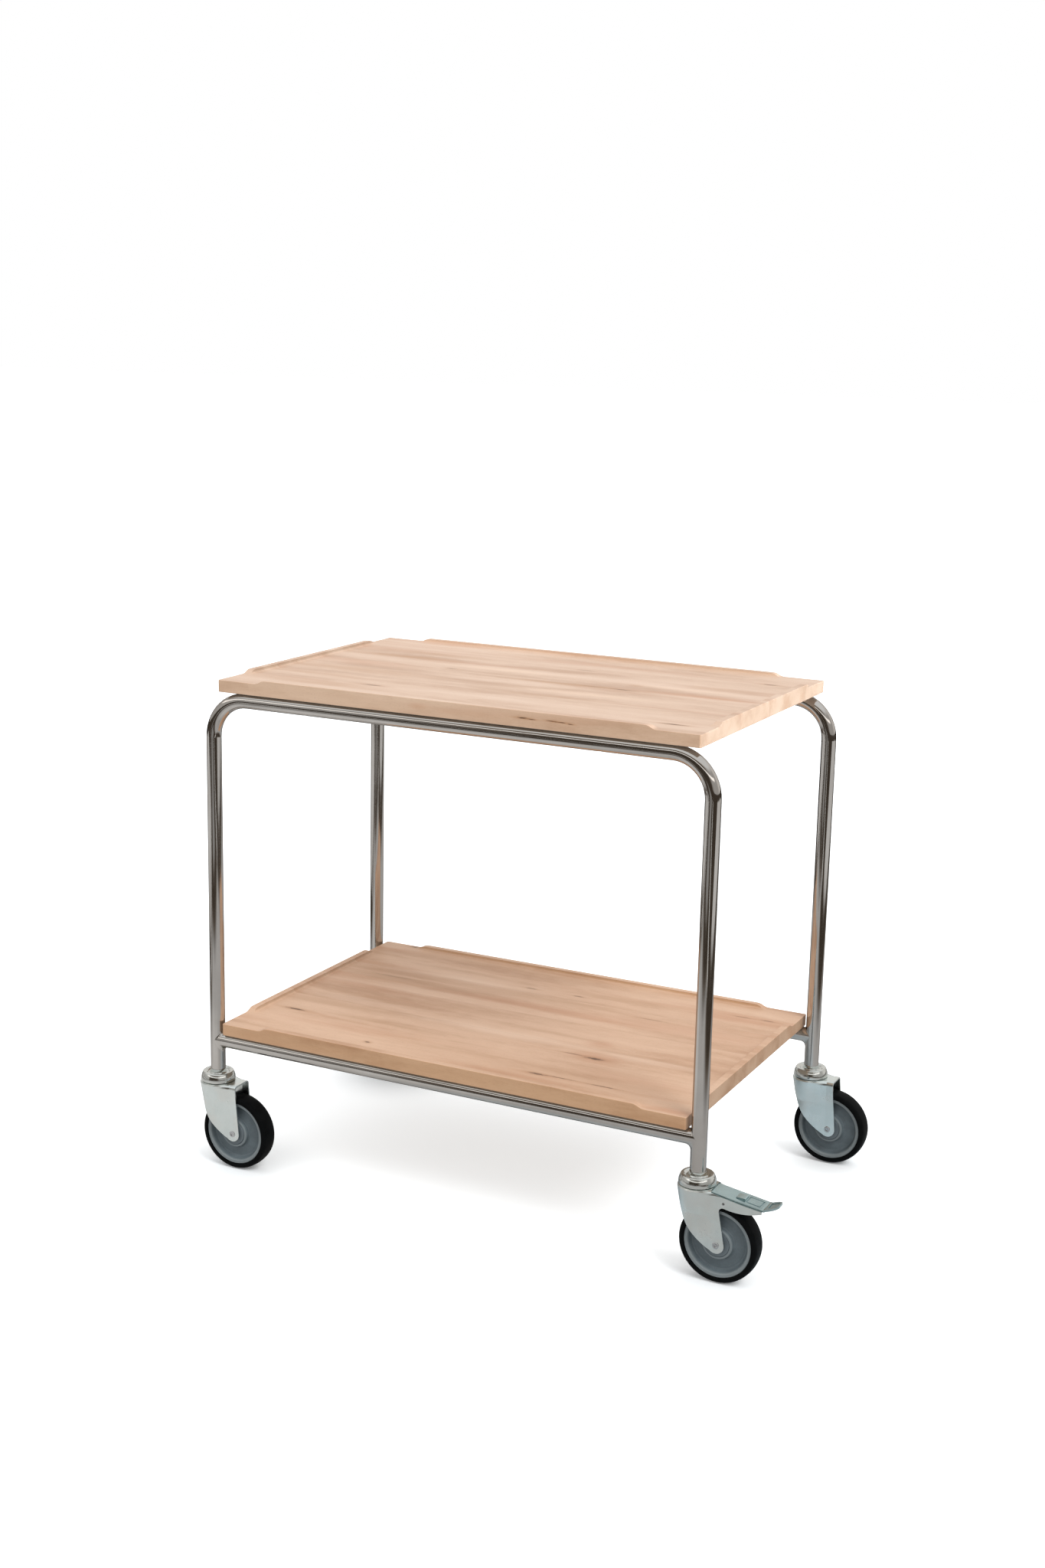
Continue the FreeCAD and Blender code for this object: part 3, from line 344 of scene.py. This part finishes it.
# --------------------------------------------------------------------- metals
def polished_tube(name, along):
    """Polished steel tube: bright, with faint drawing lines along its length."""
    mat, g = material(name)
    x, y, z = g.split(g.pos)
    if along == "x":
        v = g.join(g.math("MULTIPLY", x, 3.0), g.math("MULTIPLY", y, 900.0), g.math("MULTIPLY", z, 900.0))
    else:
        v = g.vec("MULTIPLY", g.pos, (420.0, 420.0, 420.0))
    lines = g.noise(v, 1.0, 3.0, 0.6)
    cloud = g.noise(g.pos, 9.0, 4.0, 0.6)
    smudge = g.span(g.noise(g.pos, 26.0, 5.0, 0.65), 0.52, 0.74)
    col = g.mix(g.span(cloud, 0.35, 0.7), (0.57, 0.546, 0.518), (0.64, 0.619, 0.592))
    col = g.mix(g.math("MULTIPLY", smudge, 0.10), col, (0.42, 0.375, 0.33))
    rough = g.math("ADD", g.math("ADD", 0.045, g.math("MULTIPLY", cloud, 0.05)), g.math("ADD", g.math("MULTIPLY", lines, 0.03), g.math("MULTIPLY", smudge, 0.05)))
    finish_with(g, Base_Color=col, Roughness=rough, Normal=g.bump(lines, 0.05, 0.0001))
    g.shader.inputs["Metallic"].default_value = 1.0
    g.shader.inputs["Specular Tint"].default_value = (0.46, 0.43, 0.41, 1.0)
    return mat


def plated(name, base, tint, rough0, rough_var, streak, bump, wave=0.0, warm=None):
    """Zinc-plated steel: soft streaks down the sheet, faint cloudy patches."""
    mat, g = material(name)
    x, y, z = g.split(g.pos)
    cloud = g.noise(g.pos, 38.0, 4.0, 0.6)
    down = g.noise(g.join(g.math("MULTIPLY", x, 160.0), g.math("MULTIPLY", y, 160.0), g.math("MULTIPLY", z, 14.0)), 1.0, 3.0, 0.55)
    fine = g.noise(g.pos, 1400.0, 2.0, 0.5)
    spot = g.span(g.noise(g.pos, 210.0, 3.0, 0.55), 0.66, 0.78)
    f = g.math("ADD", g.math("MULTIPLY", g.math("SUBTRACT", cloud, 0.5), 1.2), g.math("MULTIPLY", g.math("SUBTRACT", down, 0.5), streak))
    col = g.mix(g.span(f, -0.35, 0.35), base, tint)
    if warm:
        col = g.mix(g.span(g.noise(g.pos, 24.0, 3.0, 0.5), 0.44, 0.62, 0.0, 0.40), col, warm)
    col = g.mix(g.math("MULTIPLY", spot, 0.22), col, tuple(c * 0.62 for c in base))
    rough = g.math("ADD", rough0, g.math("ADD", g.math("MULTIPLY", g.math("SUBTRACT", cloud, 0.5), rough_var), g.math("MULTIPLY", spot, 0.06)))
    height = g.math("ADD", g.math("MULTIPLY", fine, 0.35), g.math("MULTIPLY", down, 0.65))
    if wave:
        height = g.math("ADD", height, g.math("MULTIPLY", g.noise(g.pos, 30.0, 1.0, 0.4), wave))
    finish_with(g, Base_Color=col, Roughness=rough, Normal=g.bump(height, bump, 0.0002))
    g.shader.inputs["Metallic"].default_value = 1.0
    return mat


tube_steel = polished_tube("polished_tube", "any")
rail_steel = polished_tube("polished_rail", "x")
cap_zinc = plated("bright_zinc", (0.62, 0.635, 0.605), (0.72, 0.745, 0.725), 0.13, 0.06, 0.2, 0.02)
sheet_zinc = plated("zinc_sheet", (0.715, 0.785, 0.775), (0.81, 0.875, 0.865), 0.25, 0.14, 0.45, 0.06, 160.0, (0.78, 0.77, 0.73))
pedal_zinc = plated("zinc_pedal", (0.40, 0.530, 0.550), (0.47, 0.610, 0.628), 0.24, 0.12, 0.4, 0.06, 60.0)
bolt_steel = plated("bolt_steel", (0.50, 0.51, 0.52), (0.62, 0.63, 0.64), 0.26, 0.12, 0.2, 0.06)
dark_steel = plated("dark_steel", (0.15, 0.15, 0.15), (0.24, 0.24, 0.24), 0.34, 0.12, 0.2, 0.06)
screw_steel = plated("screw_steel", (0.55, 0.55, 0.54), (0.66, 0.66, 0.65), 0.22, 0.10, 0.2, 0.05)


# ------------------------------------------------------- plastics and rubbers
def wheel_plastic(name, cx, cy, cz, web, ring):
    """Moulded grey wheel body: matt grain, turning marks, and a lighter outer rim that is a painted highlight."""
    mat, g = material(name)
    x, y, z = g.split(g.pos)
    dx, dz = g.math("SUBTRACT", x, cx), g.math("SUBTRACT", z, cz)
    r = g.math("SQRT", g.math("ADD", g.math("MULTIPLY", dx, dx), g.math("MULTIPLY", dz, dz)))
    grain = g.noise(g.pos, 1900.0, 2.0, 0.5)
    flow = g.noise(g.join(g.math("MULTIPLY", r, 260.0), g.math("MULTIPLY", y, 30.0), 0.0), 1.0, 3.0, 0.55)
    cloud = g.noise(g.pos, 55.0, 4.0, 0.6)
    dust = g.span(g.noise(g.pos, 420.0, 4.0, 0.6), 0.60, 0.78)
    col = g.mix(g.span(g.math("ADD", g.math("MULTIPLY", cloud, 0.7), g.math("MULTIPLY", flow, 0.3)), 0.35, 0.66), tuple(c * 0.88 for c in web), tuple(c * 1.10 for c in web))
    # painted highlight: the flush outer rim takes the lighter ring colour, as if catching light, against the
    # recessed web
    painted_rim_highlight = g.span(r, 0.0468, 0.0490)
    col = g.mix(g.math("MULTIPLY", painted_rim_highlight, g.span(cloud, 0.25, 0.75, 0.82, 1.0)), col, ring)
    boss = g.math("MULTIPLY", g.span(r, 0.0206, 0.0212), g.span(r, 0.0252, 0.0240))
    col = g.mix(g.math("MULTIPLY", boss, 0.6), col, ring)
    col = g.mix(g.math("MULTIPLY", dust, 0.10), col, (0.42, 0.42, 0.41))
    rough = g.math("ADD", 0.40, g.math("ADD", g.math("MULTIPLY", cloud, 0.14), g.math("MULTIPLY", dust, 0.15)))
    finish_with(g, Base_Color=col, Roughness=rough, Normal=g.bump(g.math("ADD", grain, g.math("MULTIPLY", flow, 0.6)), 0.10, 0.00015))
    g.shader.inputs["Specular IOR Level"].default_value = 0.30
    return mat


def rubber(name, cx, cz, base, worn, wheel=True):
    """Black rubber: soft sheen, dust in the tread."""
    mat, g = material(name)
    x, y, z = g.split(g.pos)
    grain = g.noise(g.pos, 1300.0, 3.0, 0.6)
    cloud = g.noise(g.pos, 70.0, 5.0, 0.62)
    if wheel:
        dx, dz = g.math("SUBTRACT", x, cx), g.math("SUBTRACT", z, cz)
        r = g.math("SQRT", g.math("ADD", g.math("MULTIPLY", dx, dx), g.math("MULTIPLY", dz, dz)))
        tread = g.span(r, 0.0618, 0.0640)
    else:
        tread = 0.5
    dust = g.math("MULTIPLY", g.span(cloud, 0.46, 0.76), tread)
    col = g.mix(g.span(cloud, 0.3, 0.7), base, tuple(c * 1.5 for c in base))
    col = g.mix(g.math("MULTIPLY", dust, 0.22), col, worn)
    rough = g.math("ADD", 0.42, g.math("ADD", g.math("MULTIPLY", cloud, 0.16), g.math("MULTIPLY", dust, 0.18)))
    finish_with(g, Base_Color=col, Roughness=rough, Normal=g.bump(grain, 0.14, 0.0002))
    g.shader.inputs["Specular IOR Level"].default_value = 0.04
    return mat


def plain_plastic(name, base):
    mat, g = material(name)
    cloud = g.noise(g.pos, 60.0, 4.0, 0.6)
    grain = g.noise(g.pos, 1700.0, 2.0, 0.5)
    col = g.mix(g.span(cloud, 0.3, 0.7), tuple(c * 0.86 for c in base), tuple(c * 1.14 for c in base))
    finish_with(g, Base_Color=col, Roughness=g.math("ADD", 0.40, g.math("MULTIPLY", cloud, 0.16)), Normal=g.bump(grain, 0.10, 0.00015))
    return mat


# ------------------------------------------------------------ give the finishes
def dress(node, mat):
    slots = nodes[node].data.materials
    slots.clear()
    slots.append(mat)


dress("front_frame_tube", tube_steel)
dress("rear_frame_tube", tube_steel)
dress("front_lower_rail", rail_steel)
dress("rear_lower_rail", rail_steel)
dress("top_tray", beech_top)
dress("lower_tray", beech_low)
dress("top_tray_screws", screw_steel)
dress("lower_tray_screws", screw_steel)
socket_plastic = plain_plastic("socket_plastic", (0.03, 0.03, 0.032))
guard_plastic = plain_plastic("guard_grey", (0.105, 0.130, 0.146))
shoe_rubber = rubber("shoe_rubber", 0, 0, (0.030, 0.030, 0.030), (0.12, 0.115, 0.11), wheel=False)
dress("leg_sockets", socket_plastic)
LEG_X, LEG_Y, TRAIL, AXLE_Z = 0.440, 0.2625, 0.0415, 0.0645
for fb, sy in (("front", -1), ("rear", 1)):
    for lr, sx in (("left", -1), ("right", 1)):
        p = "%s_%s_" % (fb, lr)
        cx, cy = LEG_X * sx + TRAIL, LEG_Y * sy
        dress(p + "swivel_cap", cap_zinc)
        dress(p + "king_bolt", bolt_steel)
        dress(p + "swivel_balls", bolt_steel)
        dress(p + "fork", sheet_zinc)
        dress(p + "axle", bolt_steel)
        # the wheel's second colour is the painted highlight of its outer rim
        dress(p + "wheel_hub", wheel_plastic(p + "wheel_grey", cx, cy, AXLE_Z, (0.113, 0.142, 0.158), (0.208, 0.239, 0.250)))
        dress(p + "tyre", rubber(p + "tyre_rubber", cx, AXLE_Z, (0.0026, 0.0030, 0.0032), (0.014, 0.014, 0.014)))
        dress(p + "hub_bearing", bolt_steel)
        dress(p + "thread_guards", guard_plastic)
        if p + "brake_pedal" in nodes:
            dress(p + "brake_pedal", pedal_zinc)
            dress(p + "brake_shoe", shoe_rubber)
            dress(p + "brake_pin", dark_steel)
            dress(p + "brake_spring", bolt_steel)


# ------------------------------------------------- ground welds at the rails
def weld(name, sx, sy):
    """Fillets blended over and under the joint of a rail and a leg, ground smooth."""
    R, rz = 0.0125, 0.2225
    bm = bmesh.new()
    for side, rho0 in ((1, 0.0040), (-1, 0.0095)):
        rows = []
        ny, na = 29, 10
        for i in range(ny):
            t = -1 + 2 * i / (ny - 1)
            y = 0.985 * R * math.sin(t * math.pi / 2)
            h = math.sqrt(R * R - y * y)
            rho = rho0 * (0.10 + 0.90 * math.cos(t * math.pi / 2) ** 1.2)
            ring = []
            for k in range(na + 1):
                a = math.pi / 2 * k / na
                ring.append((h + rho * (1 - math.sin(a)) + 0.00004, h + rho * (1 - math.cos(a)) + 0.00004))
            inner = [(h - 0.0006, h + rho), (h - 0.0006, h - 0.0006), (h + rho, h - 0.0006)]
            rows.append([bm.verts.new((sx * (LEG_X - u), sy * LEG_Y + y, rz + side * w)) for u, w in ring + inner])
        n = len(rows[0])
        for i in range(ny - 1):
            for k in range(n):
                k2 = (k + 1) % n
                bm.faces.new((rows[i][k], rows[i][k2], rows[i + 1][k2], rows[i + 1][k]))
        bm.faces.new(rows[0])
        bm.faces.new(rows[-1])
    bmesh.ops.recalc_face_normals(bm, faces=bm.faces)
    me = bpy.data.meshes.new(name)
    bm.to_mesh(me)
    bm.free()
    for f in me.polygons:
        f.use_smooth = True
    me.set_sharp_from_angle(angle=math.radians(40))
    ob = bpy.data.objects.new(name, me)
    scene.collection.objects.link(ob)
    me.materials.append(tube_steel)
    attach(ob, "frame")
    return ob


for fb, sy in (("front", -1), ("rear", 1)):
    for lr, sx in (("left", -1), ("right", 1)):
        weld("%s_%s_weld" % (fb, lr), sx, sy)

# --------------------------------------------------------------------- studio
floor_me = bpy.data.meshes.new("floor")
floor_me.from_pydata([(-40, -40, 0), (40, -40, 0), (40, 40, 0), (-40, 40, 0)], [], [(0, 1, 2, 3)])
floor = bpy.data.objects.new("floor", floor_me)
scene.collection.objects.link(floor)
fmat, g = material("floor_paper")
fx, fy, fz = g.split(g.pos)
path = g.new("ShaderNodeLightPath")
tooth = g.noise(g.pos, 3.0, 4.0, 0.6)
# what the metal sees of the floor: the lit paper, reflector boards, dark studio beyond
def board(x0, x1, y0, y1, soft, level):
    wx = g.math("MULTIPLY", g.span(fx, x0 - soft, x0 + soft), g.span(fx, x1 + soft, x1 - soft))
    wy = g.math("MULTIPLY", g.span(fy, y0 - soft, y0 + soft), g.span(fy, y1 + soft, y1 - soft))
    return g.math("MULTIPLY", g.math("MULTIPLY", wx, wy), level)


seen = 0.045
for lay in ((-1.25, 1.20, -1.55, 6.0, 0.25, 0.36), (-5.0, -1.75, -2.7, 0.7, 0.16, 0.46), (2.1, 6.0, -0.9, 4.0, 0.16, 0.46),
            (-0.75, 0.55, -4.6, -2.2, 0.12, 0.20), (1.32, 1.52, -4.5, -1.3, 0.05, 0.60), (-1.55, -1.42, -4.5, -0.4, 0.04, 0.50), (-0.95, -0.15, -0.95, 0.35, 0.20, 0.15), (-0.15, 0.75, -0.35, 0.35, 0.20, 0.15)):
    seen = g.math("ADD", board(*lay), seen)
paper = g.mix(g.span(tooth, 0.3, 0.7), (0.892, 0.932, 0.962), (0.912, 0.952, 0.982))
# the paper glows a little for the camera, less right at the four wheels at rest, which paints a contact shadow
# there
glow_with_painted_wheel_shade = 0.43
for wx in (-0.3985, 0.4815):
    for wy in (-0.2625, 0.2625):
        far = g.vec("LENGTH", g.vec("SUBTRACT", g.pos, (wx, wy, 0.0)))
        glow_with_painted_wheel_shade = g.math("MULTIPLY", g.span(far, 0.02, 0.17, 0.25, 1.0), glow_with_painted_wheel_shade)
gloom = g.mix(g.span(seen, 0.05, 0.26), (1.0, 0.80, 0.62), g.mix(board(-0.15, 0.75, -0.35, 0.35, 0.20, 1.0), (1.0, 1.0, 1.0), (0.88, 1.02, 1.12)))
bounce = g.mix(path.outputs["Is Glossy Ray"], (0.44, 0.44, 0.44), g.mix(1.0, g.join(seen, seen, seen), gloom, "MULTIPLY"))
finish_with(g, Base_Color=g.mix(path.outputs["Is Camera Ray"], bounce, paper))
g.put(g.shader.inputs["Emission Color"], (1.0, 1.0, 1.0))
g.put(g.shader.inputs["Emission Strength"], g.math("MULTIPLY", path.outputs["Is Camera Ray"], glow_with_painted_wheel_shade))
g.shader.inputs["Roughness"].default_value = 0.9
g.shader.inputs["Specular IOR Level"].default_value = 0.0
floor_me.materials.append(fmat)

world = bpy.data.worlds.new("studio")
scene.world = world
world.use_nodes = True
g = Graph(world.node_tree)
out = g.new("ShaderNodeOutputWorld")
bg = g.new("ShaderNodeBackground")
white = g.new("ShaderNodeBackground")
mixer = g.new("ShaderNodeMixShader")
path = g.new("ShaderNodeLightPath")
g.t.links.new(path.outputs["Is Camera Ray"], mixer.inputs[0])
g.t.links.new(bg.outputs[0], mixer.inputs[1])
g.t.links.new(white.outputs[0], mixer.inputs[2])
g.t.links.new(mixer.outputs[0], out.inputs[0])
white.inputs[0].default_value = (1, 1, 1, 1)
white.inputs[1].default_value = 1.0
d = g.split(g.new("ShaderNodeTexCoord").outputs["Generated"])
elev = g.span(d[2], 0.54, 0.74)
strip = g.math("MULTIPLY", g.math("MULTIPLY", g.span(d[2], 0.32, 0.37), g.span(d[2], 0.47, 0.42)), g.span(d[1], 0.05, -0.15))
left = g.span(d[0], -0.40, -0.58)
rightw = g.span(d[0], 0.35, 0.75)
behind = g.span(d[1], 0.15, 0.60)
wall = g.math("ADD", g.math("ADD", 0.06, g.math("MULTIPLY", left, 0.44)), g.math("MULTIPLY", rightw, 0.40))
wall = g.math("ADD", g.math("MULTIPLY", wall, g.math("SUBTRACT", 1.0, behind)), g.math("MULTIPLY", behind, 0.80))
wall = g.math("ADD", wall, g.math("MULTIPLY", strip, 1.25))
sky = g.math("ADD", g.math("MULTIPLY", wall, g.math("SUBTRACT", 1.0, elev)), g.math("MULTIPLY", elev, 0.86))
tint = g.mix(elev, g.mix(g.span(wall, 0.07, 0.34), (1.0, 0.80, 0.62), (1.0, 0.965, 0.93)), (0.985, 0.995, 1.0))
g.put(bg.inputs[0], g.mix(path.outputs["Is Glossy Ray"], (1.0, 0.99, 0.98), tint))
g.put(bg.inputs[1], g.math("ADD", g.math("MULTIPLY", path.outputs["Is Glossy Ray"], sky),
                           g.math("MULTIPLY", g.math("SUBTRACT", 1.0, path.outputs["Is Glossy Ray"]), 1.02)))
world.cycles.sampling_method = "NONE"


def sun(name, toward, energy, spread, color=(1, 1, 1)):
    li = bpy.data.lights.new(name, "SUN")
    li.energy = energy
    li.angle = math.radians(spread)
    li.color = color
    ob = bpy.data.objects.new(name, li)
    scene.collection.objects.link(ob)
    ob.rotation_euler = Vector(toward).to_track_quat("Z", "Y").to_euler()
    ob.visible_glossy = False
    return ob


sun("key", (0.62, -0.30, 0.725), 1.35, 26.0, (1.0, 0.985, 0.965))


def strip_light(name, at, wide, tall, watts, spread):
    """Narrow strip box at the right that rakes the end of the top tray."""
    li = bpy.data.lights.new(name, "AREA")
    li.shape = "RECTANGLE"
    li.size, li.size_y = tall, wide
    li.energy = watts
    li.color = (0.94, 1.0, 1.07)
    li.spread = math.radians(spread)
    ob = bpy.data.objects.new(name, li)
    scene.collection.objects.link(ob)
    ob.location = at
    ob.rotation_euler = (0.0, math.radians(90.0), 0.0)
    ob.visible_glossy = False
    ob.visible_camera = False
    return ob


strip_light("end_strip", (1.05, 0.0, 0.834), 0.90, 0.012, 0.78, 40.0)
